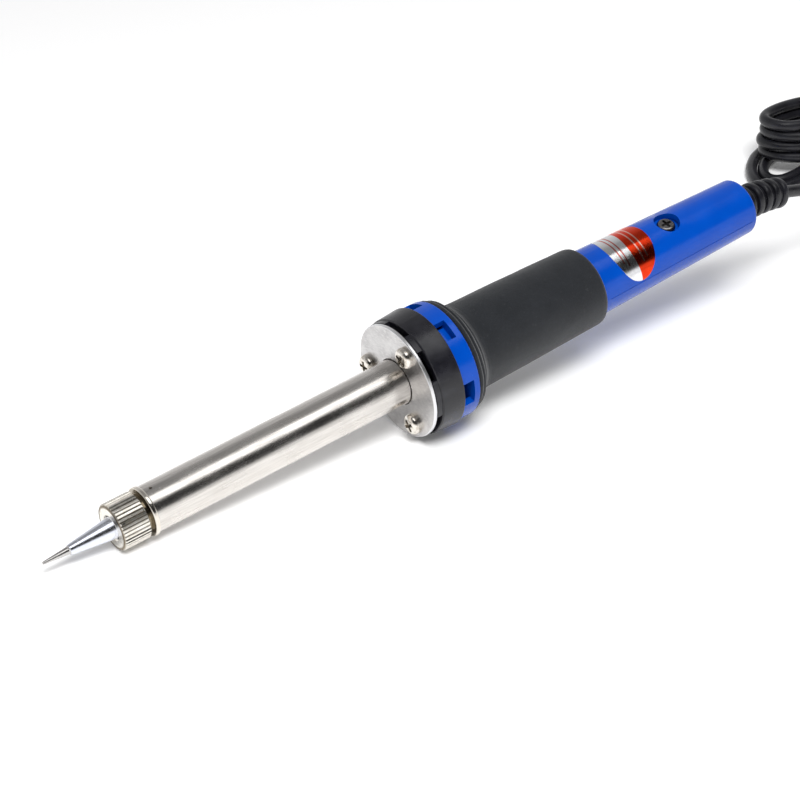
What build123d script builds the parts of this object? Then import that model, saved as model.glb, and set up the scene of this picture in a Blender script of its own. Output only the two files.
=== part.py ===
from build123d import *
import os
from math import atan2, cos, degrees, exp, pi, radians, sin, tan

os.makedirs("parts", exist_ok=True)

# A corded soldering iron, lying on a table on its nut and its black ring.
# Every piece of the iron is made about the iron's own axis: Z runs along it, minus towards the tip
# and 0 at the front face of the steel plate, X points up and Y towards the near side. on_table()
# puts it down. Angles are measured about the axis from the top towards the near side.
# Millimetres throughout.

# --- Driving dimensions: stations along the axis -------------------------------------------------
TIP_Z = -101.6  # point of the bit
NUT_Z = (-83.1, -75.8)
BEAD_Z = (-74.7, -73.4)  # rolled bead between the nut and the barrel
PLATE_T = 1.0
RING_Z = (2.5, 9.1)  # main body of the black ring; its lugs reach forward to the plate
FLANGE_Z = (9.1, 14.2)  # blue flange of the handle
WINDOW_END_Z = 12.4  # the vent windows leave a rim behind them
GRIP_Z = (14.25, 60.5)
GRIP_LIP_Z = 16.2
HANDLE_END_Z = 115.5
SCREW_POCKET_Z = 88.4
END_WALL_Z = 112  # inner face of the handle's end wall
LABEL_Z = 73.5  # middle of the rating label
LABEL_ANGLE = 13
SPLICE_Z = (38, 46)  # where the heater's leads meet the cord's cores

# --- Driving dimensions: radii -------------------------------------------------------------------
BARREL_R = 6.0  # a standard 12 mm steel tube
BARREL_WALL = 0.5
BIT_R = 2.95
BORE_R = 3.03  # the bore that the bit slides in
EDGE = 0.4  # chamfer at the nut's front and at the ring's front edge
PLATE_R = 15.2
RING_R = (15.6, 16.05)  # front and rear edge
LUG_R = 15.3
FLANGE_R = 15.55
GRIP_R = (11.45, 10.65)  # behind the lip, and at the rear end
GRIP_LIP_R = 15.2
HANDLE_END_R = 7.75
HANDLE_TAPER = 0.0243  # the handle's radius grows this much per mm towards the flange
HANDLE_WALL = 1.7
SCREW_CIRCLE_R = 11.3
SCREW_ANGLES = (28, 148, 268)
LEAD_Y = 1.25  # the leads run this far each side of the axis
POCKET_R, POCKET_FLOOR = 3.5, 6.0  # the clamp screw's pocket, and its floor above the axis
POCKET_ANGLE = 13
CORD_R = 1.7  # a round two-core cord, 3.4 mm

# --- The nut's thread, as plain cylinders with a running fit -------------------------------------
THREAD_R = 5.0
THREAD_GAP = 0.05
KNURL_GROOVES = 40
KNURL_WIDTH = 0.42

# --- The boot bends down under the cord's weight -------------------------------------------------
BOOT_BEND_R = 50
BOOT_BEND = 18  # degrees
BOOT_R = (4.95, 4.25)  # first and last rib
BOOT_CORE_R = 3.6
BOOT_RIBS = 5
BOOT_NECK_R, BOOT_FLANGE_R = 4.4, 5.9

# --- The cord on the table, in the frame of the whole model --------------------------------------
LOOP_MIDDLE = (199.4, 46.6)  # two loose turns, flat on the table
LOOP_HALF = (49.4, 13.6)
LOOP_BAND = 9.0  # width of the two turns side by side
HANK_MIDDLE = (205.9, 38.6)  # the tied hank, lying across the loose turns
HANK_ANGLE = -17
HANK_HALF = (46.0, 12.0)  # to the cord's centreline
HANK_BAND = 1.9  # from the centreline to the outside
HANK_Z = (3.9, 17.5)  # four turns high
PINCH, PINCH_REACH = 0.68, 0.3  # how far, and over how much of the length, the tie gathers it
TIE_T = 0.4
TIE_WIDTH = 3.0

# --- The plug, a plain two-blade type ------------------------------------------------------------
PLUG_REAR = (247.5, -9.8, 6.7)  # where the cord enters it
PLUG_SIZE = (34, 24, 13)
BLADE_SIZE = (17.0, 1.5, 6.3)
BLADE_PITCH = 12.7


def lean():
    """The iron's slope, from the two circles that it rests on."""
    return atan2(RING_R[0] - BARREL_R, RING_Z[0] - NUT_Z[0])


SLOPE = lean()
PLATE_HEIGHT = RING_R[0] * cos(SLOPE) - (RING_Z[0] + EDGE) * sin(SLOPE)


def boot_point(turned_by):
    """A point of the boot's bent centreline, as (x, z) about the axis."""
    bend = radians(turned_by)
    return BOOT_BEND_R * (cos(bend) - 1), HANDLE_END_Z + BOOT_BEND_R * sin(bend)


def along(x, z):
    """How far along the table a point of the axis frame lies from the plate."""
    return z * cos(SLOPE) - x * sin(SLOPE)


BOOT_TOP = boot_point(BOOT_BEND)
BOOT_REACH = along(*BOOT_TOP) + (BOOT_R[1] - 0.3) * sin(radians(BOOT_BEND) - SLOPE)
PLATE_X = -(along(0, TIP_Z) + BOOT_REACH) / 2  # puts the middle of the iron at X = 0
IRON = Plane(
    origin=(PLATE_X, 0, PLATE_HEIGHT),
    x_dir=(-sin(SLOPE), 0, cos(SLOPE)),
    z_dir=(cos(SLOPE), 0, sin(SLOPE)),
)


# --- Helpers -------------------------------------------------------------------------------------
def turned(*points, arc=360):
    """A solid of revolution about the axis, from (radius, station, corner radius) points."""
    outline = FilletPolyline(
        *[p[:2] for p in points],
        radius=[p[2] if len(p) == 3 else 0 for p in points],
        close=True,
    )
    return revolve(Plane.XZ * make_face(outline), Axis.Z, revolution_arc=arc)


def tube(inner, outer, z0, z1, edge=0):
    """A plain ring, with its two outer corners rounded by edge."""
    return turned((inner, z0), (outer, z0, edge), (outer, z1, edge), (inner, z1))


def rod(radius, z0, z1):
    """A round bar on the axis."""
    return turned((0, z0), (radius, z0), (radius, z1), (0, z1))


def sector(inner, outer, z0, z1, middle, width):
    """A piece of a ring, from its middle angle and its width in degrees."""
    points = ((inner, z0), (outer, z0), (outer, z1), (inner, z1))
    return Rot(0, 0, middle - width / 2) * turned(*points, arc=width)


def around(radius, angles, z=0):
    """Places at these angles about the axis."""
    return [Rot(0, 0, a) * Pos(radius, 0, z) for a in angles]


def handle_r(z):
    """The handle's outer radius at a station."""
    return HANDLE_END_R + (HANDLE_END_Z - z) * HANDLE_TAPER


def cross_slot(width, length, depth):
    """The cutter for a cross recess, pointing down from Z = 0."""
    arms = Box(width, length, depth) + Box(length, width, depth)
    return Pos(0, 0, -depth / 2) * arms


# --- The bit and what holds it -------------------------------------------------------------------
def soldering_bit():
    """A straight shank that slides in the heater, a plated cone and a tinned point."""
    return turned(
        (0, TIP_Z), (0.38, TIP_Z, 0.12), (0.98, -94.9), (1.3, -94.6), (2.72, NUT_Z[0] - 0.3),
        (BIT_R, NUT_Z[0] + 0.7), (BIT_R, -34, 0.5), (0, -34),
    )


def tip_nut():
    """A nut with straight knurling; its front wall holds the collet."""
    front, rear = NUT_Z
    bore = THREAD_R + THREAD_GAP
    nut = turned(
        (BORE_R, front + 0.3), (BORE_R + 0.3, front), (BARREL_R - EDGE, front), (BARREL_R, front + EDGE),
        (BARREL_R, rear - 0.2), (BARREL_R - 0.2, rear), (bore, rear), (bore, front + 1.8),
        (BORE_R, front + 1.8),
    )
    step = 360 / KNURL_GROOVES
    groove = Rot(0, 0, 45) * Box(KNURL_WIDTH, KNURL_WIDTH, 2 * (rear - front))
    places = around(BARREL_R + 0.02, [(i + 0.5) * step for i in range(KNURL_GROOVES)], front)
    return nut - [place * groove for place in places]


def tip_collet():
    """A split ring that the nut squeezes onto the bit."""
    front = NUT_Z[0] + 1.85
    ring = turned(
        (BIT_R + 0.05, front), (4.7, front), (4.7, front + 1.0), (4.2, front + 1.75), (BIT_R + 0.05, front + 1.75)
    )
    return ring - Pos(4, 0, front) * Box(4, 0.5, 8)


def barrel_collar():
    """The threaded bush in the front of the barrel, with the bead that closes the tube."""
    front, rear = NUT_Z[0] + 4.1, BEAD_Z[1] + 3
    bead_r, pressed_r = BARREL_R + 0.35, BARREL_R - BARREL_WALL - 0.01
    return turned(
        (BORE_R, front), (THREAD_R - 0.3, front), (THREAD_R, front + 0.3), (THREAD_R, BEAD_Z[0]),
        (bead_r, BEAD_Z[0], 0.45), (bead_r, BEAD_Z[1], 0.45), (pressed_r, BEAD_Z[1]), (pressed_r, rear),
        (BORE_R, rear),
    )


# --- The barrel and the heater in it -------------------------------------------------------------
def barrel_tube():
    """The steel tube, flared behind the plate, with a small vent near its front."""
    inner, flare_r, flare_z = BARREL_R - BARREL_WALL, BARREL_R + 1.6, PLATE_T + 0.05
    body = turned(
        (inner, BEAD_Z[1]), (BARREL_R, BEAD_Z[1]), (BARREL_R, flare_z), (flare_r, flare_z),
        (flare_r, flare_z + BARREL_WALL), (inner, flare_z + BARREL_WALL),
    )
    vent = Rot(0, 0, 6) * Pos(BARREL_R, 0, -71.7) * Rot(0, 90, 0) * Cylinder(0.4, 3)
    return body - vent


def heater_core():
    """The ceramic bobbin around the bit's shank."""
    return turned(
        (BORE_R, -70), (5.3, -70), (5.3, -67.5), (4.0, -67.5), (4.0, -27.5), (5.3, -27.5), (5.3, -25), (BORE_R, -25)
    )


def heater_winding():
    """The resistance wire, wound close, as one sleeve with a ridge for each turn."""
    turns, start, end, bore, root, crest = 32, -67, -28, 4.02, 4.3, 4.62
    pitch = (end - start) / turns
    ridges = [(root, start)]
    for i in range(turns):
        ridges += [(crest, start + (i + 0.3) * pitch), (crest, start + (i + 0.7) * pitch)]
        ridges += [(root, start + (i + 1) * pitch)]
    return turned((bore, start), *ridges, (bore, end))


def heater_rear_disc():
    """The steel disc that centres the heater in the barrel and carries the ceramic lead tube."""
    return tube(2.7, BARREL_R - BARREL_WALL - 0.05, -24.8, -22.8, 0.2)


def lead_insulator():
    """A ceramic rod with two bores for the heater's leads."""
    bores = [Pos(0, side * LEAD_Y, 0) * Cylinder(0.6, 80) for side in (-1, 1)]
    return turned((0, -24.6), (2.65, -24.6, 0.3), (2.65, 12, 0.3), (0, 12)) - bores


def pair(maker):
    """The live and the neutral piece, one each side of the axis, joined in one node."""
    return Compound([Pos(0, side * LEAD_Y, 0) * maker() for side in (-1, 1)])


def heater_lead():
    """One bare lead of the heater, from its rear disc to the splice."""
    return rod(0.4, -24.6, SPLICE_Z[0] + 4)


def lead_sleeve():
    """A glass-fibre sleeve on one lead."""
    return tube(0.45, 0.95, 12.2, SPLICE_Z[0] - 0.3)


def lead_splice():
    """A crimped steel barrel that joins a lead to a core of the cord."""
    return tube(0.45, 1.15, *SPLICE_Z, 0.2)


def cord_core():
    """One insulated core of the cord, bared where the splice holds it."""
    return turned(
        (0, SPLICE_Z[0] + 4.2), (0.4, SPLICE_Z[0] + 4.2), (0.4, SPLICE_Z[1] + 0.3), (0.8, SPLICE_Z[1] + 0.3, 0.2),
        (0.8, 76), (0, 76),
    )


# --- The steel plate and the black ring ----------------------------------------------------------
def flange_plate():
    """The steel disc that closes the handle's front."""
    holes = [place * Cylinder(1.6, 5) for place in around(SCREW_CIRCLE_R, SCREW_ANGLES)]
    return tube(BARREL_R + 0.3, PLATE_R, 0, PLATE_T, 0.25) - holes


def flange_screw():
    """A pan-head self-tapping screw with a cross recess, pointing along the axis."""
    head_r, head_h, shank_r = 2.75, 1.95, 1.35
    screw = turned(
        (0, -head_h), (head_r, -head_h, 1.3), (head_r, 0), (shank_r, 0), (shank_r, 10.4), (0.3, 12), (0, 12)
    )
    return screw - Pos(0, 0, -head_h) * Rot(180, 0, 0) * cross_slot(0.85, 3.2, 1.1)


def flange_screws():
    """The three screws through the plate and the ring into the handle."""
    return Compound([place * flange_screw() for place in around(SCREW_CIRCLE_R, SCREW_ANGLES)])


def insulating_ring():
    """The black ring: an outer wall, a web, a hub, three screw posts and lugs under the plate."""
    front, rear = RING_Z
    wall_r = 13.4
    ring = turned(
        (wall_r, front), (RING_R[0], front, EDGE), (RING_R[1], rear, 0.3), (wall_r, rear)
    )
    ring += tube(8, wall_r + 0.2, 5, 7)
    ring += tube(BARREL_R - 0.1, 9, 1.6, rear)
    ring += [place * rod(2.6, PLATE_T, rear) for place in around(SCREW_CIRCLE_R, SCREW_ANGLES)]
    lug = (wall_r + 0.2, LUG_R, PLATE_T, front + 2)
    ring += [sector(*lug, 25 + turn, 20) for turn in (0, 120, 240)]
    ring += [sector(*lug, 85 + turn, 38) for turn in (0, 120, 240)]
    return ring - [place * Cylinder(1.45, 40) for place in around(SCREW_CIRCLE_R, SCREW_ANGLES)]


# --- The handle ----------------------------------------------------------------------------------
def handle_shell():
    """The blue moulding: a vented flange, a tapered tube, a screw pocket and an end wall."""
    front, rear = FLANGE_Z
    wall_r = 13.7
    shell = turned(
        (handle_r(front) - HANDLE_WALL, front), (handle_r(front), front), (handle_r(rear), WINDOW_END_Z),
        (wall_r, WINDOW_END_Z), (wall_r, front + 0.02), (FLANGE_R, front + 0.02), (FLANGE_R, rear, 0.3),
        (handle_r(rear), rear), (HANDLE_END_R, HANDLE_END_Z, 0.9), (BOOT_NECK_R + 0.05, HANDLE_END_Z),
        (BOOT_NECK_R + 0.05, END_WALL_Z), (handle_r(END_WALL_Z) - HANDLE_WALL, END_WALL_Z),
    )
    posts = around(SCREW_CIRCLE_R, SCREW_ANGLES)
    shell += [place * rod(2.4, front + 0.02, rear - 0.2) for place in posts]
    shell -= [place * rod(1.42, front - 1, 12.8) for place in posts]
    shell -= [sector(13, 17, front - 1, WINDOW_END_Z, 28.3 + turn, 20) for turn in (0, 120, 240)]
    shell -= [sector(13, 17, front - 1, WINDOW_END_Z, 94.5 + turn, 25) for turn in (0, 120, 240)]
    across = Rot(0, 0, POCKET_ANGLE) * Pos(0, 0, SCREW_POCKET_Z) * Rot(0, 90, 0)
    shell += across * Pos(0, 0, 5.0) * Cylinder(4.6, 2.3)
    shell -= across * Pos(0, 0, POCKET_FLOOR + 5) * Cylinder(POCKET_R, 10)
    shell -= across * Pos(0, 0, 5) * Cylinder(1.4, 6)
    return shell - [seam(angle) for angle in (95, 275)]


def seam(angle):
    """The cutter for a mould parting line, a shallow groove along the tapered tube."""
    lean_in = degrees(atan2(HANDLE_TAPER, 1))
    middle = (GRIP_Z[1] + HANDLE_END_Z) / 2
    line = Box(0.24, 0.16, HANDLE_END_Z - GRIP_Z[1] - 4)
    return Rot(0, 0, angle) * Pos(handle_r(middle), 0, middle) * Rot(0, -lean_in, 0) * line


def grip_sleeve():
    """The foam sleeve, with a flared lip against the blue flange."""
    front, rear = GRIP_Z
    return turned(
        (handle_r(front) + 0.02, front), (GRIP_LIP_R, front, 0.4), (GRIP_LIP_R - 0.2, GRIP_LIP_Z, 0.8),
        (GRIP_R[0] + 0.7, GRIP_LIP_Z + 2.2, 1.8), (GRIP_R[0], GRIP_LIP_Z + 4.2), (GRIP_R[1], rear, 0.9),
        (handle_r(rear) + 0.02, rear),
    )


def rating_label():
    """A foil label, an oval when laid flat, wrapped on the handle."""
    half_length, half_wrap, gap, foil = 6.9, 12.0, 0.01, 0.08
    z0, z1 = LABEL_Z - 9, LABEL_Z + 9
    skin = turned(
        (handle_r(z0) + gap, z0), (handle_r(z0) + gap + foil, z0), (handle_r(z1) + gap + foil, z1),
        (handle_r(z1) + gap, z1),
    )
    radius, points = handle_r(LABEL_Z), []
    for i in range(24):
        turn = 2 * pi * i / 24
        points.append((half_length * cos(turn), radius * sin(half_wrap * sin(turn) / radius)))
    oval = extrude(make_face(Spline(*points, periodic=True)), 12)
    return skin & (Rot(0, 0, LABEL_ANGLE) * Pos(0, 0, LABEL_Z) * Rot(0, 90, 0) * oval)


def handle_screw():
    """The machine screw that presses the clamp onto the cord, at the bottom of its pocket."""
    head_r, head_h, shank_r = 2.5, 1.5, 1.2
    screw = turned(
        (0, POCKET_FLOOR + head_h), (head_r, POCKET_FLOOR + head_h, 0.9), (head_r, POCKET_FLOOR),
        (shank_r, POCKET_FLOOR), (shank_r, CORD_R + 0.3), (0, CORD_R + 0.3),
    )
    screw -= Pos(0, 0, POCKET_FLOOR + head_h) * cross_slot(0.75, 3.0, 0.9)
    return Rot(0, 0, POCKET_ANGLE) * Pos(0, 0, SCREW_POCKET_Z) * Rot(0, 90, 0) * screw


def cord_clamp():
    """A small bar, drilled for the screw, that grips the cord inside the handle."""
    bar = Pos(0, 0, CORD_R + 1.1) * Box(10, 6, 2.1)
    bar -= Cylinder(1.25, 20)
    return Rot(0, 0, POCKET_ANGLE) * Pos(0, 0, SCREW_POCKET_Z) * Rot(0, 90, 0) * bar


def boot_line(start):
    """The centreline through the handle's end and the bent boot."""
    corner, end = Vector(0, 0, HANDLE_END_Z), BOOT_TOP
    middle = boot_point(BOOT_BEND / 2)
    bend = ThreePointArc(corner, (middle[0], 0, middle[1]), (end[0], 0, end[1]))
    return Wire([Edge.make_line((0, 0, start), corner), bend.edge()])


def swept(radius, start):
    """A round bar along the boot's centreline."""
    return sweep(Pos(0, 0, start) * Circle(radius), path=boot_line(start))


def strain_relief():
    """The rubber boot: a flange and neck held by the handle's end wall, and ribs that bend."""
    start = END_WALL_Z - 3
    boot = swept(BOOT_CORE_R, start)
    boot += rod(BOOT_FLANGE_R, start, END_WALL_Z - 0.05) + rod(BOOT_NECK_R, start, HANDLE_END_Z + 0.4)
    for i in range(BOOT_RIBS):
        at = BOOT_BEND * (i + 0.62) / BOOT_RIBS
        x, z = boot_point(at)
        radius = BOOT_R[0] + (BOOT_R[1] - BOOT_R[0]) * i / (BOOT_RIBS - 1)
        boot += Pos(x, 0, z) * Rot(0, -at, 0) * tube(1, radius, -1.0, 1.0, 0.7)
    return boot - swept(CORD_R + 0.02, start)


def cord_inner_end():
    """The stretch of cord held by the clamp and the boot."""
    return swept(CORD_R, 76.2)


# --- The cord, its hank and the plug -------------------------------------------------------------
def on_table(shape):
    """Puts a piece of the iron where it lies."""
    return IRON * shape


def cord_exit():
    """Where the cord leaves the boot, and which way it points."""
    end = IRON.from_local_coords(Vector(BOOT_TOP[0], 0, BOOT_TOP[1]))
    dip = radians(BOOT_BEND) - SLOPE
    return end, Vector(cos(dip), 0, -sin(dip))


EXIT, EXIT_WAY = cord_exit()
CORD_ROUTE = [
    EXIT, EXIT + EXIT_WAY * 17, Vector(151, 3, 16.5), Vector(169, 8, 8.5), Vector(186, 14, 3.2),
    Vector(198, 23, 1.7), Vector(198, LOOP_MIDDLE[1] - LOOP_HALF[1], 1.7),
]


def hank_end():
    """The far end of the hank, and which way its long axis points."""
    way = Vector(cos(radians(HANK_ANGLE)), sin(radians(HANK_ANGLE)), 0)
    reach = HANK_HALF[0] + HANK_BAND + 0.02
    return Vector(HANK_MIDDLE[0], HANK_MIDDLE[1], HANK_Z[0] + CORD_R) + way * reach, way


TAIL_START, TAIL_WAY = hank_end()
TAIL_ROUTE = [
    TAIL_START, TAIL_START + TAIL_WAY * 8 - Vector(0, 0, 2.2), Vector(267.1, 18.2, 1.7),
    Vector(272.8, 11.6, 1.7), Vector(274, 2.9, 1.9), Vector(270.3, -5.1, 3.0),
    Vector(262.9, -9.6, 5.2), Vector(256, PLUG_REAR[1], PLUG_REAR[2]), Vector(*PLUG_REAR),
]


def cord_tube(route, name):
    """A round tube along straight runs joined by tangent arcs as large as the runs allow."""
    runs = [b - a for a, b in zip(route, route[1:])]
    turns = [radians(a.get_angle(b)) for a, b in zip(runs, runs[1:])]
    shorter = [min(a.length, b.length) for a, b in zip(runs, runs[1:])]
    radii = [0.45 * run / tan(turn / 2) for run, turn in zip(shorter, turns)]
    print(name, "runs", [round(r.length, 1) for r in runs], "radii", [round(r, 1) for r in radii])
    path = FilletPolyline(*route, radius=radii)
    return sweep(Plane(origin=route[0], z_dir=runs[0]) * Circle(CORD_R), path=path)


def oval_ring(middle, half, band, z0, z1):
    """Turns of cord lying side by side in one flat ring with straight sides."""
    long, wide = half
    outer = SlotOverall(2 * long, 2 * wide)
    inner = SlotOverall(2 * (long - band), 2 * (wide - band))
    return Pos(*middle, z0) * extrude(outer - inner, z1 - z0)


def hank_outline(grow):
    """The hank's outline, this far outside its centreline: an oval that the tie gathers in."""
    long, wide = HANK_HALF
    points = []
    for i in range(28):
        turn = 2 * pi * i / 28
        gathered = 1 - PINCH * exp(-((cos(turn) / PINCH_REACH) ** 2))
        points.append(((long + grow) * cos(turn), (wide * gathered + grow) * sin(turn)))
    return make_face(Spline(*points, periodic=True))


def cord_hank():
    """The closed outer shape of the tied turns, open inside its two lobes."""
    lobe = Ellipse(10.5, 5.6)
    flat = hank_outline(HANK_BAND) - [Pos(side * 27.5, 0) * lobe for side in (-1, 1)]
    return Pos(*HANK_MIDDLE, HANK_Z[0]) * Rot(0, 0, HANK_ANGLE) * extrude(flat, HANK_Z[1] - HANK_Z[0])


def hank_tie():
    """A flat tie around the waist of the hank."""
    waist = HANK_HALF[1] * (1 - PINCH) + HANK_BAND + 0.55
    height = HANK_Z[1] - HANK_Z[0] + 0.1
    hole = Box(2 * TIE_WIDTH, 2 * waist, height)
    band = Box(TIE_WIDTH, 2 * (waist + TIE_T), height + 2 * TIE_T) - hole
    return Pos(*HANK_MIDDLE, sum(HANK_Z) / 2) * Rot(0, 0, HANK_ANGLE) * band


def plug_body():
    """The moulded plug, lying flat, with its cord entry towards +X."""
    length, width, height = PLUG_SIZE
    body = Box(length * 0.72, width, height)
    body = Pos(-length * 0.64, 0, 0) * fillet(body.edges().filter_by(Axis.X), 3)
    wide_end = Plane((-length * 0.28, 0, 0), x_dir=(0, 1, 0), z_dir=(1, 0, 0))
    cord_end = Plane((0, 0, 0), x_dir=(0, 1, 0), z_dir=(1, 0, 0))
    neck = loft([
        wide_end * RectangleRounded(width - 1, height - 1, 3),
        cord_end * RectangleRounded(9, 7, 2.8),
    ])
    return Pos(*PLUG_REAR) * (body + neck)


def plug_blades():
    """Two flat blades in the plug's face."""
    length, thick, wide = BLADE_SIZE
    blade = fillet(Box(length, thick, wide).edges().filter_by(Axis.Y).group_by(Axis.X)[0], 1.6)
    face_x = PLUG_REAR[0] - PLUG_SIZE[0]
    y, z = PLUG_REAR[1:]
    return Compound(
        [Pos(face_x - length / 2, y + side * BLADE_PITCH / 2, z) * blade for side in (-1, 1)]
    )


# --- Output --------------------------------------------------------------------------------------
IRON_PARTS = {
    "soldering_bit": soldering_bit(),
    "tip_nut": tip_nut(),
    "tip_collet": tip_collet(),
    "barrel_collar": barrel_collar(),
    "barrel_tube": barrel_tube(),
    "heater_core": heater_core(),
    "heater_winding": heater_winding(),
    "heater_wrap": tube(4.7, 4.95, -67.3, -27.7),
    "heater_rear_disc": heater_rear_disc(),
    "lead_insulator": lead_insulator(),
    "heater_leads": pair(heater_lead),
    "lead_sleeves": pair(lead_sleeve),
    "lead_splices": pair(lead_splice),
    "cord_cores": pair(cord_core),
    "flange_plate": flange_plate(),
    "flange_screws": flange_screws(),
    "insulating_ring": insulating_ring(),
    "handle_shell": handle_shell(),
    "grip_sleeve": grip_sleeve(),
    "rating_label": rating_label(),
    "handle_screw": handle_screw(),
    "cord_clamp": cord_clamp(),
    "cord_inner_end": cord_inner_end(),
    "strain_relief": strain_relief(),
}
TABLE_PARTS = {
    "cord_run": cord_tube(CORD_ROUTE, "cord_run"),
    "cord_loop": oval_ring(LOOP_MIDDLE, LOOP_HALF, LOOP_BAND, 0, 2 * CORD_R),
    "cord_hank": cord_hank(),
    "cord_tail": cord_tube(TAIL_ROUTE, "cord_tail"),
    "hank_tie": hank_tie(),
    "plug_body": plug_body(),
    "plug_blades": plug_blades(),
}

for name, shape in IRON_PARTS.items():
    export_step(on_table(shape), f"parts/{name}.step")
for name, shape in TABLE_PARTS.items():
    export_step(shape, f"parts/{name}.step")
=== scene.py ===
import bpy
from math import cos, exp, floor, pi, radians, sin
from mathutils import Matrix, Vector, noise


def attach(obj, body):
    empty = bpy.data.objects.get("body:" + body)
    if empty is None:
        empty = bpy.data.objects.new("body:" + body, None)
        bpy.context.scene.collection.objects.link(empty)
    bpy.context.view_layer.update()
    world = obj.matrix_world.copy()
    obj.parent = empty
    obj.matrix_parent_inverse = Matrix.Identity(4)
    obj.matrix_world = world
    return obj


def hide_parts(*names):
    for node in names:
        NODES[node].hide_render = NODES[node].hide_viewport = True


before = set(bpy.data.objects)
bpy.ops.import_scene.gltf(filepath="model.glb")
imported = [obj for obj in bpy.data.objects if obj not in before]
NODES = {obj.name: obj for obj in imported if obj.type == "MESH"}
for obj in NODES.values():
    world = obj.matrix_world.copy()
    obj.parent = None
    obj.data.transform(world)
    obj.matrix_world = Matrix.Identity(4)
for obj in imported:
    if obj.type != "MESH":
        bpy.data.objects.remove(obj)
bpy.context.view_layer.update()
MM = 0.001
CORD_THICKNESS = 0.0034
ON_TABLE = 1.7  # height in mm of the middle of a cord that lies on the table

# ---------------------------------------------------------------- camera
scene = bpy.context.scene
camera = bpy.data.objects.new("camera", bpy.data.cameras.new("camera"))
scene.collection.objects.link(camera)
camera.location = (-0.31167, -0.39553, 0.32038)
camera.rotation_euler = (radians(57.858), 0, radians(-36.956))
camera.data.lens = 105.7
camera.data.sensor_width = 36
camera.data.clip_start = 0.02
camera.data.dof.use_dof = False
scene.camera = camera
scene.view_settings.view_transform = "Standard"


# ---------------------------------------------------------------- cord
HANK_MIDDLE, HANK_ANGLE = (205.9, 38.6), radians(-17)
TURNS, TURN_POINTS = 4, 16  # of the hank, and of each of its turns
LAYER = 3.4  # rise of each turn over the last, in mm

RUN = [
    (115.29, 0, 27.34), (131.94, 0, 23.92), (151, 3, 16.5), (169, 8, 8.5), (184, 14.5, 3.4), (197, 23, 1.7),
    (208, 31, 1.7), (219, 35.2, 1.7),
]
OUTER_TURN = [
    (231, 33.8), (241, 36), (247.2, 42), (247.6, 49.5), (242, 56), (232, 59.4), (216, 58.4), (199, 57.6),
    (183, 58.8), (173, 58.8), (165, 56.8), (158.4, 52.4), (154, 47.4), (151.6, 42.2), (152.3, 38),
    (156.4, 36), (163, 36.2), (173, 36.6),
]
INNER_TURN = [
    (189, 37.8), (205, 39), (219, 38.9), (230, 37.8), (238.5, 40), (242.3, 46), (239.6, 52), (231.5, 55.2),
    (220, 54.5), (205, 53.4), (190, 53.4), (178, 54.3), (168.6, 53.6), (162.6, 51), (158.2, 47.2),
    (156.2, 43), (158.2, 39.9),
]
CLIMB = [(164.5, 39.7, 1.8), (173, 41.2, 2.4), (182.5, 41.6, 4.0), (190.5, 40, 5.6), (198, 37.6, 5.7)]
# the last end goes down inside the hank: along it, across it, and height
DIVE = [
    (-37, -6.6, 15.8), (-30, -4.9, 15.2), (-21, -2.3, 13.4), (-12, -0.5, 11.2), (-3, 0, 8.8), (9, 0, 6.9),
    (21, 0.2, 4.6), (33, 0.6, 2.6), (44, 0.4, 1.7), (54, 0, 1.7),
]
TAIL = [
    (267.1, 18.2, 1.7), (272.8, 11.6, 1.7), (274, 2.9, 2.0), (270.3, -5.1, 3.0), (262.9, -9.6, 5.2),
    (255, -9.8, 6.7), (247.5, -9.8, 6.7),
]


def smooth(x):
    x = min(1, max(0, x))
    return x * x * (3 - 2 * x)


def in_hank(along, across, z):
    """A point given along and across the hank, as a point on the table."""
    c, s = cos(HANK_ANGLE), sin(HANK_ANGLE)
    return HANK_MIDDLE[0] + along * c - across * s, HANK_MIDDLE[1] + along * s + across * c, z


def hank_turns():
    """Turns one above the other, gathered at the tie; each climbs over the last on the near side."""
    points = []
    for i in range(TURNS * TURN_POINTS - 2):
        turn, share = floor(i / TURN_POINTS), (i % TURN_POINTS) / TURN_POINTS
        t = 2 * pi * i / TURN_POINTS - pi / 2
        half_length = 46 + (-0.5, 0.6, -0.3, 0.2)[turn]
        half_width = 11.4 + (0.5, -0.4, 0.3, -0.2)[turn]
        gathered = (1 - 0.68 * exp(-((cos(t) / 0.3) ** 2))) * (1.06 if sin(t) < 0 else 0.9)
        across = half_width * gathered * sin(t) * (1 + 0.25 * cos(t) ** 2)
        climb = smooth((share - 0.84) / 0.12) if turn < TURNS - 1 else 0
        points.append(in_hank(half_length * cos(t), across, 5.6 + LAYER * (turn + climb)))
    return points


def cord_points():
    flat = [(x, y, ON_TABLE) for x, y in OUTER_TURN + INNER_TURN]
    return RUN + flat + CLIMB + hank_turns() + [in_hank(*p) for p in DIVE] + TAIL


def tube_curve(name, points, diameter):
    """One smooth open curve along mm control points, as a round tube; the points carry its radius."""
    curve = bpy.data.curves.new(name, "CURVE")
    curve.dimensions = "3D"
    spline = curve.splines.new("NURBS")
    spline.points.add(len(points) - 1)
    for place, p in zip(spline.points, points):
        place.co = (p[0] * MM, p[1] * MM, p[2] * MM, 1)
        place.radius = diameter / 2
    spline.order_u = 3
    spline.use_endpoint_u = True
    spline.resolution_u = 8
    curve.bevel_depth = 1.0
    curve.bevel_resolution = 7
    curve.use_fill_caps = True
    tube = bpy.data.objects.new(name, curve)
    scene.collection.objects.link(tube)
    return tube


cord = tube_curve("mains_cord", cord_points(), CORD_THICKNESS)
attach(cord, "iron")
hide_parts("cord_run", "cord_loop", "cord_hank", "cord_tail")

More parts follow.
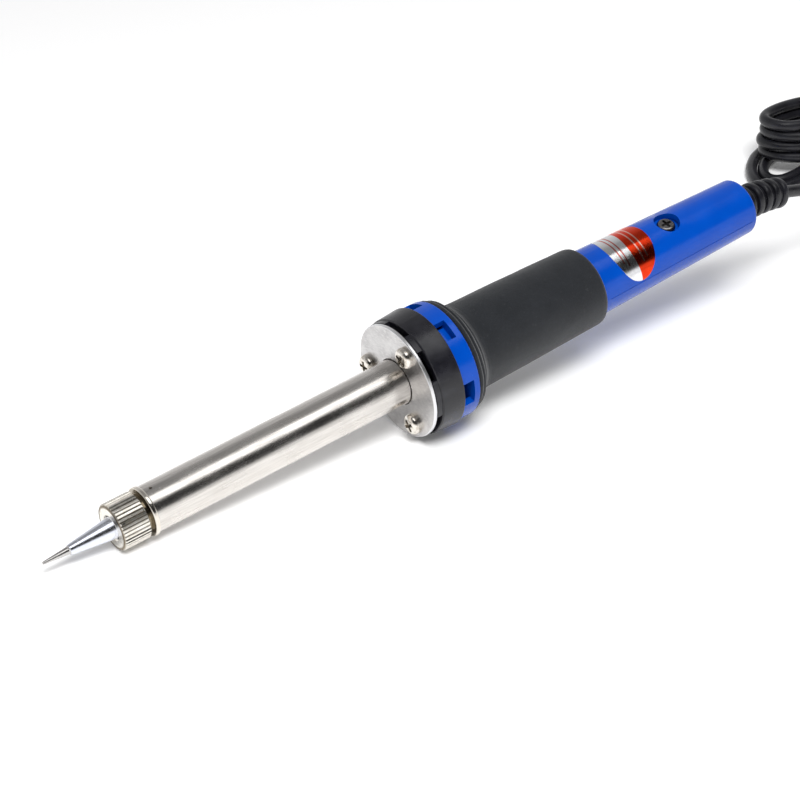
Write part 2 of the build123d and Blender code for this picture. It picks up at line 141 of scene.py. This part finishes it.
# ---------------------------------------------------------------- materials
# The iron's own axis: Z along it from the plate's front face, minus towards the tip, X up, Y to the near
# side
SLOPE = radians(6.398957)
PLATE = (-0.01511753, 0, 0.0151796)
AXIS = Matrix(((-sin(SLOPE), 0, cos(SLOPE)), (0, -1, 0), (cos(SLOPE), 0, sin(SLOPE))))


class Finish:
    """A procedural material: one Principled shader, and short ways to add patterns in mm to it."""

    def __init__(self, name, colour, roughness, metallic=0.0, on_axis=True, **sockets):
        self.material = bpy.data.materials.new(name)
        self.material.use_nodes = True
        self.nodes = self.material.node_tree.nodes
        self.shader = self.nodes["Principled BSDF"]
        self.height = None
        sockets = {"Base Color": (*colour, 1), "Roughness": roughness, "Metallic": metallic, **sockets}
        for socket, value in sockets.items():
            self.shader.inputs[socket].default_value = value
        if on_axis:
            place = dict(Location=PLATE, Rotation=AXIS.to_euler(), Scale=(MM, MM, MM))
        else:
            place = dict(Scale=(MM, MM, MM))
        coordinates = self.add("TexCoord").outputs["Object"]
        self.place = self.add("Mapping", vector_type="TEXTURE", Vector=coordinates, **place).outputs[0]

    def add(self, kind, **settings):
        """A node; a setting that names an input sets it or links it, and the rest are properties."""
        node = self.nodes.new("ShaderNode" + kind)
        for key, value in settings.items():
            if hasattr(type(node), key) or key in node.bl_rna.properties:
                setattr(node, key, value)
        for key, value in settings.items():
            index = int(key[1:]) if key[0] == "i" and key[1:].isdigit() else key
            if isinstance(index, int) or index in node.inputs:
                self.feed(node.inputs[index], value)
        return node

    def feed(self, socket, value):
        if isinstance(value, bpy.types.NodeSocket):
            self.material.node_tree.links.new(value, socket)
        else:
            socket.default_value = value

    def math(self, operation, *values):
        node = self.add("Math", operation=operation)
        for socket, value in zip(node.inputs, values):
            self.feed(socket, value)
        return node.outputs[0]

    def axes(self):
        return self.add("SeparateXYZ", Vector=self.place).outputs

    def radius(self):
        """Distance from the iron's axis."""
        x, y, _ = self.axes()
        squares = self.math("ADD", self.math("MULTIPLY", x, x), self.math("MULTIPLY", y, y))
        return self.math("SQRT", squares)

    def angle(self):
        """Degrees about the iron's axis, from the top towards the near side."""
        x, y, _ = self.axes()
        return self.math("MULTIPLY", self.math("ARCTAN2", y, x), 180 / pi)

    def stretched(self, x, y, z):
        return self.add("VectorMath", operation="MULTIPLY", i0=self.place, i1=(x, y, z)).outputs[0]

    def noise(self, per_mm, detail=2.0, stretch=None):
        place = self.stretched(*stretch) if stretch else self.place
        return self.add("TexNoise", Vector=place, Scale=per_mm, Detail=detail, Roughness=0.5).outputs["Fac"]

    def cells(self, per_mm):
        return self.add("TexVoronoi", Vector=self.place, Scale=per_mm, feature="F1").outputs["Distance"]

    def fit(self, value, low, high, to_low=0.0, to_high=1.0):
        """Rescales and clamps a value."""
        settings = {"Value": value, "From Min": low, "From Max": high, "To Min": to_low, "To Max": to_high}
        return self.add("MapRange", **settings).outputs[0]

    def mix(self, share, a, b):
        node = self.add("Mix", data_type="RGBA")
        for index, value in ((0, share), (6, a), (7, b)):
            value = (*value, 1) if isinstance(value, tuple) and len(value) == 3 else value
            self.feed(node.inputs[index], value)
        return node.outputs[2]

    def colour(self, value):
        self.feed(self.shader.inputs["Base Color"], value)
        return self

    def rough(self, value, low, high):
        """Roughness from low to high as a noise goes through its usual range."""
        self.feed(self.shader.inputs["Roughness"], self.fit(value, 0.3, 0.7, low, high))
        return self

    def bump(self, height, depth_mm):
        """Adds relief; several calls add up."""
        settings = {"Height": height, "Distance": depth_mm * MM, "Strength": 1.0}
        if self.height:
            settings["Normal"] = self.height
        self.height = self.add("Bump", **settings).outputs[0]
        self.feed(self.shader.inputs["Normal"], self.height)
        return self


def both(f, patches, specks, low, high):
    """Large soft patches with fine specks over them, as roughness."""
    blend = f.math("ADD", f.math("MULTIPLY", patches, 0.6), f.math("MULTIPLY", specks, 0.4))
    return f.rough(blend, low, high)


def steel_tube():
    """Drawn and polished nickel-steel: rings of fine polish, small pits, patches of wear."""
    f = Finish("barrel_steel", (0.70, 0.67, 0.635), 0.2, 1.0)
    rings = f.noise(6.0, 3.0, (0.02, 0.02, 1.0))
    streaks = f.noise(2.2, 3.0, (1.0, 1.0, 0.06))
    pits = f.fit(f.noise(3.2, 1.0), 0.70, 0.76)
    drawn = f.mix(f.fit(streaks, 0.35, 0.7), (0.74, 0.71, 0.675), (0.60, 0.57, 0.535))
    f.colour(f.mix(pits, drawn, (0.80, 0.79, 0.76)))
    both(f, f.noise(0.12, 3.0), streaks, 0.16, 0.34)
    f.bump(rings, 0.0025)
    return f.bump(pits, 0.006)


def nickel():
    """Bright turned nickel plate, yellower and darker down in the grooves and seams."""
    f = Finish("nut_nickel", (0.82, 0.79, 0.73), 0.16, 1.0)
    radius = f.radius()
    stain = f.math("MULTIPLY", f.fit(radius, 5.98, 5.62), f.fit(radius, 4.9, 5.3))
    worn = f.mix(f.fit(f.noise(0.9, 3.0), 0.4, 0.65), (0.86, 0.83, 0.77), (0.74, 0.70, 0.62))
    f.colour(f.mix(stain, worn, (0.16, 0.12, 0.07)))
    both(f, f.noise(0.5, 2.0), f.noise(7.0, 2.0), 0.22, 0.38)
    return f.bump(f.noise(9.0, 2.0, (0.2, 0.2, 1.0)), 0.002)


def collar_nickel():
    """Nickel on the bead, and brown heat stain on the bush in front of it."""
    f = Finish("collar_nickel", (0.80, 0.76, 0.70), 0.18, 1.0)
    z = f.axes()[2]
    dirt = f.fit(z, -74.55, -74.75)
    clean = f.mix(f.noise(1.5, 3.0), (0.85, 0.81, 0.75), (0.70, 0.65, 0.57))
    f.colour(f.mix(dirt, clean, (0.22, 0.18, 0.12)))
    both(f, f.noise(0.6), f.noise(6.0), 0.12, 0.25)
    return f.bump(f.noise(8.0, 2.0, (0.1, 0.1, 1.0)), 0.002)


def bit_plating():
    """Bluish plated cone, and a duller tinned point in front of a sharp edge."""
    f = Finish("bit_plating", (0.8, 0.82, 0.88), 0.17, 1.0)
    z = f.axes()[2]
    point = f.fit(z, -94.55, -94.75)
    shank = f.mix(f.noise(0.8, 3.0), (0.84, 0.86, 0.92), (0.70, 0.73, 0.82))
    tin = f.mix(f.noise(2.5, 3.0), (0.66, 0.64, 0.62), (0.42, 0.41, 0.41))
    f.colour(f.mix(point, shank, tin))
    both(f, f.noise(0.5), f.noise(5.0), 0.18, 0.30)
    f.bump(f.noise(8.0, 2.0, (0.1, 0.1, 1.0)), 0.0015)
    return f.bump(f.math("MULTIPLY", point, f.noise(2.2, 3.0)), 0.03)


def plate_steel():
    """Pressed stainless plate, tumbled to a dull grey, with a worn bright rim."""
    f = Finish("plate_steel", (0.56, 0.55, 0.55), 0.34, 1.0)
    rim = f.fit(f.radius(), 14.85, 15.12)
    grain = f.noise(3.5, 4.0, (1.0, 0.25, 1.0))
    cloud = f.noise(0.22, 3.0)
    grey = f.mix(f.fit(cloud, 0.35, 0.65), (0.60, 0.59, 0.585), (0.47, 0.46, 0.46))
    f.colour(f.mix(rim, f.mix(f.fit(grain, 0.45, 0.75), grey, (0.70, 0.69, 0.68)), (0.80, 0.80, 0.81)))
    both(f, cloud, grain, 0.26, 0.42)
    f.bump(grain, 0.004)
    return f.bump(f.fit(f.noise(1.6, 2.0), 0.62, 0.72), 0.012)


def screw_steel():
    """Bright warm nickel with brownish stains."""
    f = Finish("screw_nickel", (0.74, 0.70, 0.64), 0.17, 1.0)
    stain = f.math("MULTIPLY", f.fit(f.noise(1.3, 2.0), 0.5, 0.62), 0.55)
    f.colour(f.mix(stain, (0.80, 0.76, 0.70), (0.42, 0.36, 0.28)))
    both(f, f.noise(0.8), f.noise(6.0), 0.12, 0.28)
    return f.bump(f.noise(3.0, 3.0), 0.006)


def bakelite():
    """Black thermoset moulding: glossy, with a grey bloom, dust and a few scuffs."""
    f = Finish("black_bakelite", (0.012, 0.012, 0.016), 0.28, 0.0, **{"Specular IOR Level": 0.5})
    bloom = f.fit(f.noise(0.35, 4.0, (1, 1, 0.6)), 0.42, 0.75)
    dust = f.fit(f.noise(5.0, 2.0), 0.72, 0.78)
    black = f.mix(bloom, (0.005, 0.005, 0.008), (0.016, 0.016, 0.021))
    f.colour(f.mix(dust, black, (0.12, 0.12, 0.13)))
    both(f, f.noise(0.3, 3.0), f.noise(4.0, 3.0), 0.22, 0.44)
    f.bump(f.noise(1.2, 3.0), 0.012)
    return f.bump(f.noise(9.0, 2.0), 0.0015)


def blue_plastic():
    """Glossy blue moulded plastic with a faint grain and small nicks."""
    f = Finish("blue_plastic", (0.0, 0.062, 0.42), 0.2, 0.0, **{"Specular IOR Level": 0.28})
    nick = f.fit(f.noise(2.4, 2.0), 0.735, 0.76)
    shade = f.mix(f.fit(f.noise(0.15, 3.0), 0.3, 0.7), (0.0, 0.056, 0.39), (0.0, 0.064, 0.43))
    f.colour(f.mix(nick, shade, (0.01, 0.10, 0.55)))
    both(f, f.noise(0.25, 2.0), f.noise(5.0, 2.0), 0.15, 0.27)
    f.bump(f.noise(0.9, 2.0), 0.006)
    return f.bump(f.noise(7.0, 2.0), 0.001)


def foam():
    """Closed-cell foam rubber: matt charcoal, fine pores painted darker in their dents as painted shade,
    faint lint.
    """
    sheen = {"Specular IOR Level": 0.3, "Sheen Weight": 0.2, "Sheen Roughness": 0.5}
    f = Finish("foam_rubber", (0.03, 0.032, 0.036), 0.82, 0.0, **sheen)
    pores = f.fit(f.cells(3.4), 0.12, 0.55)
    fine = f.noise(7.0, 3.0)
    cloud = f.fit(f.noise(0.12, 4.0), 0.35, 0.7)
    lint = f.fit(f.noise(4.2, 1.0), 0.745, 0.77)
    base = f.mix(cloud, (0.013, 0.0155, 0.020), (0.024, 0.027, 0.033))
    # the pores are painted darker where the bump dents the skin: painted shade in the pits
    pores_painted_shaded = f.mix(f.math("MULTIPLY", pores, f.fit(fine, 0.35, 0.65)), (0.008, 0.009, 0.0105), base)
    f.colour(f.mix(lint, pores_painted_shaded, (0.12, 0.12, 0.125)))
    f.rough(fine, 0.72, 0.92)
    f.bump(pores, 0.035)
    return f.bump(fine, 0.03)


# Generic print, as plain lines: station from and to, angle from and to
BARS = ((69.0, 69.5, -26, 50), (70.3, 70.8, -26, 56), (75.0, 75.5, -34, 60), (76.6, 77.1, -34, 54))


def label_foil():
    """Silver and red foil in two bands, with plain lines where a label has its print."""
    f = Finish("label_foil", (0.8, 0.8, 0.8), 0.16, 1.0)
    z, angle = f.axes()[2], f.angle()
    wave = f.math("MULTIPLY", f.math("SINE", f.math("MULTIPLY", angle, 0.05)), 0.35)
    red = f.fit(f.math("ADD", z, wave), 73.05, 73.15)
    silver = f.mix(f.noise(0.6, 2.0), (0.86, 0.86, 0.87), (0.74, 0.74, 0.76))
    foil = f.mix(red, silver, f.mix(f.noise(0.5, 2.0), (0.85, 0.060, 0.012), (0.66, 0.030, 0.010)))
    ink = 0
    for start, end, first, last in BARS:
        band = f.math("MULTIPLY", f.fit(z, start, start + 0.06), f.fit(z, end, end - 0.06))
        reach = f.math("MULTIPLY", f.math("GREATER_THAN", angle, first), f.math("LESS_THAN", angle, last))
        ink = f.math("MAXIMUM", ink, f.math("MULTIPLY", band, reach))
    printed = f.mix(red, (0.58, 0.16, 0.13), (0.80, 0.42, 0.36))
    f.colour(f.mix(ink, foil, printed))
    f.rough(f.noise(1.4, 3.0), 0.14, 0.22)
    return f.bump(f.noise(0.3, 2.0), 0.006)


def rubber(name, colour, roughness=0.5, on_axis=False, depth=0.01):
    """Soft black rubber or vinyl, satin, with a fine skin."""
    f = Finish(name, colour, roughness, 0.0, on_axis, **{"Specular IOR Level": 0.45})
    cloud = f.fit(f.noise(0.25, 3.0), 0.35, 0.7)
    lighter = tuple(2.0 * c for c in colour)
    dust = f.fit(f.noise(3.6, 2.0), 0.72, 0.77)
    f.colour(f.mix(dust, f.mix(cloud, colour, lighter), tuple(min(1, c + 0.10) for c in colour)))
    both(f, f.noise(0.4, 3.0), f.noise(4.0, 3.0), roughness - 0.12, roughness + 0.12)
    f.bump(f.noise(1.1, 3.0), depth)
    return f.bump(f.noise(6.0, 2.0), depth / 6)


def plain_metal(name, colour, roughness, scale=2.0):
    """A small hidden metal piece: drawn or stamped, slightly mottled."""
    f = Finish(name, colour, roughness, 1.0)
    darker = tuple(0.7 * c for c in colour)
    f.colour(f.mix(f.fit(f.noise(scale, 3.0), 0.35, 0.7), colour, darker))
    both(f, f.noise(scale / 3), f.noise(scale * 3), roughness - 0.08, roughness + 0.12)
    return f.bump(f.noise(scale * 3, 3.0), 0.004)


def mineral(name, colour, roughness, scale=1.5, on_axis=True):
    """Ceramic, mica, glass braid and plain insulation."""
    f = Finish(name, colour, roughness, 0.0, on_axis)
    f.colour(f.mix(f.fit(f.noise(scale, 4.0), 0.35, 0.7), colour, tuple(0.75 * c for c in colour)))
    f.rough(f.noise(scale * 2, 3.0), roughness - 0.1, roughness + 0.1)
    return f.bump(f.noise(scale * 3, 3.0), 0.01)


def brass():
    """Nickel-washed brass, drawn along the blades."""
    f = Finish("blade_brass", (0.72, 0.60, 0.34), 0.25, 1.0, False)
    f.colour(f.mix(f.fit(f.noise(0.7, 4.0), 0.35, 0.7), (0.80, 0.77, 0.70), (0.62, 0.58, 0.48)))
    both(f, f.noise(0.4), f.noise(5.0), 0.16, 0.32)
    return f.bump(f.noise(4.0, 3.0, (0.1, 1.0, 1.0)), 0.003)


LOOKS = {
    "soldering_bit": bit_plating(), "tip_nut": nickel(), "barrel_collar": collar_nickel(),
    "barrel_tube": steel_tube(), "flange_plate": plate_steel(), "flange_screws": screw_steel(),
    "insulating_ring": bakelite(), "handle_shell": blue_plastic(), "rating_label": label_foil(),
    "tip_collet": plain_metal("collet_steel", (0.60, 0.58, 0.54), 0.28),
    "heater_core": mineral("core_ceramic", (0.80, 0.76, 0.66), 0.55),
    "heater_winding": plain_metal("resistance_wire", (0.42, 0.38, 0.35), 0.38, 5.0),
    "heater_wrap": mineral("mica_wrap", (0.60, 0.50, 0.34), 0.40, 0.7),
    "heater_rear_disc": plain_metal("disc_steel", (0.58, 0.57, 0.55), 0.30),
    "lead_insulator": mineral("insulator_ceramic", (0.86, 0.84, 0.78), 0.50),
    "heater_leads": plain_metal("lead_wire", (0.55, 0.52, 0.48), 0.34),
    "lead_sleeves": mineral("glass_sleeve", (0.78, 0.76, 0.70), 0.70, 4.0),
    "lead_splices": plain_metal("splice_steel", (0.62, 0.60, 0.58), 0.30),
    "cord_cores": mineral("core_insulation", (0.70, 0.66, 0.60), 0.45, 0.8),
    # the clamp screw is darker than the other small metal parts: painted shade, standing in for the shade of
    # a deeper pocket round it
    "handle_screw": plain_metal("clamp_screw_painted_shade", (0.30, 0.29, 0.29), 0.24, 3.0),
    "cord_clamp": plain_metal("clamp_steel", (0.66, 0.63, 0.57), 0.30),
    "cord_inner_end": rubber("inner_cord_vinyl", (0.012, 0.012, 0.014), 0.45, True),
    "strain_relief": rubber("boot_rubber", (0.006, 0.006, 0.008), 0.32, True, 0.012),
    "plug_body": rubber("plug_vinyl", (0.014, 0.014, 0.016), 0.50, False, 0.02),
    "plug_blades": brass(),
    "hank_tie": rubber("tie_plastic", (0.016, 0.016, 0.018), 0.45, False, 0.01),
    "grip_sleeve": foam(),
    "cord": rubber("cord_vinyl", (0.007, 0.007, 0.009), 0.32, False, 0.005),
}


def paint(thing, look):
    """Gives a piece or a CAD node its one material."""
    thing.data.materials.clear()
    thing.data.materials.append(LOOKS[look].material)


for name, node in NODES.items():
    paint(node, name if name in LOOKS else "cord")
paint(cord, "cord")


# ---------------------------------------------------------------- pieces that replace plain CAD solids
def to_world(point):
    """A point about the iron's axis, in mm, as a place in the frame."""
    return AXIS @ Vector(point) * MM + Vector(PLATE)


def mesh_piece(name, vertices, faces):
    """A smooth mesh in the scene."""
    mesh = bpy.data.meshes.new(name)
    mesh.from_pydata([tuple(v) for v in vertices], [], faces)
    mesh.validate()
    mesh.shade_smooth()
    piece = bpy.data.objects.new(name, mesh)
    scene.collection.objects.link(piece)
    return piece


def between(stops, x):
    """The value at x on the straight lines between (x, value) stops."""
    for (x0, v0), (x1, v1) in zip(stops, stops[1:]):
        if x <= x1:
            return v0 + (v1 - v0) * (x - x0) / (x1 - x0)
    return stops[-1][1]


AROUND = 160
GRIP_FRONT, GRIP_REAR = 14.3, 60.45
# station and radius of the foam's outside: a lip that curls against the flange, two folds, a waist
GRIP_OUTSIDE = (
    (14.3, 14.5), (14.45, 14.9), (14.8, 15.15), (15.3, 15.18), (15.7, 14.95), (15.95, 14.62), (16.1, 14.55),
    (16.3, 14.68), (16.7, 14.62), (17.1, 14.2), (17.5, 13.55), (17.8, 13.1), (17.95, 12.98), (18.15, 12.98),
    (18.5, 12.78), (19.1, 12.25), (19.8, 11.86), (20.8, 11.62), (22.5, 11.5), (30, 11.36), (42, 11.12),
    (54, 10.83), (58.4, 10.74), (59.4, 10.66), (60.0, 10.46), (60.3, 10.1), (60.45, 9.6), (60.45, 9.15),
)


def handle_radius(station):
    return 7.75 + (115.5 - station) * 0.0243


def foam_grip():
    """The foam sleeve, stretched over the handle: its lip bulges unevenly and its skin isn't quite round."""
    # close rings on the lip, wider ones along the waist, close ones again on the rear edge
    stations = [GRIP_FRONT + 0.12 * i for i in range(56)]
    stations += [21 + 0.6 * i for i in range(1, 63)] + [58.6 + 0.15 * i for i in range(13)]
    turns = [2 * pi * i / AROUND for i in range(AROUND)]
    vertices, faces = [], []
    for s in stations:
        base, lip = between(GRIP_OUTSIDE, s), max(0, 1 - (s - GRIP_FRONT) / 6)
        for turn in turns:
            place = Vector((cos(turn) * 3, sin(turn) * 3, s * 0.16))
            r = base + noise.noise(place) * 0.07 + noise.noise(place * 4) * (0.02 + 0.05 * lip)
            shift = lip * 0.14 * noise.noise(Vector((cos(turn) * 2, sin(turn) * 2, 7)))
            vertices.append(to_world((r * cos(turn), r * sin(turn), s + shift)))
    for s in (GRIP_REAR, GRIP_FRONT):
        r = handle_radius(s) + 0.03
        vertices += [to_world((r * cos(turn), r * sin(turn), s)) for turn in turns]
    # each ring joins the next, and the last, on the handle at the front, joins the first
    rings = len(vertices) // AROUND
    for ring in range(rings):
        a, b = ring * AROUND, (ring + 1) % rings * AROUND
        for i in range(AROUND):
            j = (i + 1) % AROUND
            faces.append((a + i, a + j, b + j, b + i))
    return mesh_piece("foam_grip", vertices, faces)


def hank_band():
    """A flat tie round the hank's waist."""
    count, vertices, faces = 96, [], []
    middle_z, half_height, half_width = 10.7, 7.15, 5.95
    section = ((-1.5, 0), (-1.35, 0.35), (0, 0.5), (1.35, 0.35), (1.5, 0), (0, 0))
    for i in range(count):
        t = 2 * pi * i / count
        squeeze = (abs(cos(t)) ** 5 + abs(sin(t)) ** 5) ** (-0.2)
        y, z = half_width * cos(t) * squeeze, half_height * sin(t) * squeeze
        along = 0.35 * sin(2 * t)
        for edge, lift in section:
            grow = 1 + lift / 7
            vertices.append(Vector(in_hank(along + edge, y * grow, middle_z + z * grow)) * MM)
    for i in range(count):
        a, b = i * len(section), (i + 1) % count * len(section)
        for k in range(len(section)):
            n = (k + 1) % len(section)
            faces.append((a + k, b + k, b + n, a + n))
    return mesh_piece("hank_band", vertices, faces)


def twisted_ends():
    """The tie's two ends, twisted and bent over the top of the hank."""
    ends = []
    for phase in (0, pi):
        points = []
        for i in range(29):
            t = i / 28
            lean, turn = radians(8 + 62 * t), phase + t * 5 * pi
            along = 0.5 * t + 0.62 * cos(turn)
            across = -2 - 11 * sin(lean) * t + 0.3 * sin(turn)
            up = 17.9 + 7.5 * t * cos(lean * 0.9) + 0.5 * sin(turn)
            points.append(in_hank(along, across, up))
        ends.append(tube_curve(f"tie_end_{len(ends)}", points, 0.0011))
    return ends


grip = foam_grip()
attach(grip, "iron")
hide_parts("grip_sleeve")
paint(grip, "grip_sleeve")
band = hank_band()
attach(band, "iron")
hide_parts("hank_tie")
paint(band, "hank_tie")
for end in twisted_ends():
    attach(end, "iron")
    paint(end, "hank_tie")


# ---------------------------------------------------------------- floor and light
def make_floor():
    """A plain white table."""
    corners = [(x, y, 0) for x, y in ((-4, -4), (4, -4), (4, 4), (-4, 4))]
    mesh = bpy.data.meshes.new("table")
    mesh.from_pydata(corners, [], [(0, 1, 2, 3)])
    table = bpy.data.objects.new("table", mesh)
    scene.collection.objects.link(table)
    white = bpy.data.materials.new("table_white")
    white.use_nodes = True
    shader = white.node_tree.nodes["Principled BSDF"]
    shader.inputs["Base Color"].default_value = (0.96, 0.96, 0.96, 1)
    shader.inputs["Roughness"].default_value = 0.9
    shader.inputs["Specular IOR Level"].default_value = 0.1
    shader.inputs["Emission Color"].default_value = (1, 1, 1, 1)
    shader.inputs["Emission Strength"].default_value = 0.08
    mesh.materials.append(white)


def area_light(name, place, aim, size, watts, mirrored=True):
    """A rectangle of light; mirrored says whether polished metal shows it."""
    lamp = bpy.data.lights.new(name, "AREA")
    lamp.shape = "RECTANGLE"
    lamp.size, lamp.size_y = size
    lamp.energy = watts
    light = bpy.data.objects.new(name, lamp)
    scene.collection.objects.link(light)
    light.location = place
    light.rotation_euler = (Vector(aim) - Vector(place)).to_track_quat("-Z", "Y").to_euler()
    light.visible_glossy = mirrored


def make_world():
    """A studio as two grey ramps by height; the near side's has a dark band."""
    world = bpy.data.worlds.new("studio")
    scene.world = world
    world.use_nodes = True
    nodes, links = world.node_tree.nodes, world.node_tree.links
    background = nodes["Background"]
    place = nodes.new("ShaderNodeTexCoord")
    parts = nodes.new("ShaderNodeSeparateXYZ")
    links.new(place.outputs["Generated"], parts.inputs[0])
    ramps = []
    for stops in (FAR_STOPS, NEAR_STOPS):
        ramp = nodes.new("ShaderNodeValToRGB")
        ramp.color_ramp.interpolation = "EASE"
        while len(ramp.color_ramp.elements) < len(stops):
            ramp.color_ramp.elements.new(0.5)
        for element, (elevation, grey) in zip(ramp.color_ramp.elements, stops):
            element.position = sin(radians(elevation))
            element.color = (grey, grey, grey * 1.01, 1)
        links.new(parts.outputs["Z"], ramp.inputs[0])
        ramps.append(ramp.outputs[0])
    side = nodes.new("ShaderNodeMapRange")
    side.interpolation_type = "SMOOTHSTEP"
    for key, value in (("From Min", -0.25), ("From Max", 0.25)):
        side.inputs[key].default_value = value
    links.new(parts.outputs["Y"], side.inputs[0])
    mix = nodes.new("ShaderNodeMix")
    mix.data_type = "RGBA"
    links.new(side.outputs[0], mix.inputs[0])
    links.new(ramps[1], mix.inputs[6])
    links.new(ramps[0], mix.inputs[7])
    links.new(mix.outputs[2], background.inputs[0])
    background.inputs["Strength"].default_value = 1.0


# elevation in degrees and brightness, on the far side and on the near side
FAR_STOPS = ((0, 0.8), (24, 0.62), (38, 0.48), (54, 0.26), (80, 0.3))
NEAR_STOPS = ((0, 1.1), (9, 1.0), (15, 0.02), (50, 0.02), (75, 0.15))

make_floor()
make_world()
area_light("ceiling_softbox", (0.08, -0.28, 0.9), (0.08, -0.28, 0), (0.96, 0.54), 3)
area_light("key_softbox", (-0.26, -0.52, 1.0), (0.05, 0, 0), (0.55, 0.45), 12, mirrored=False)
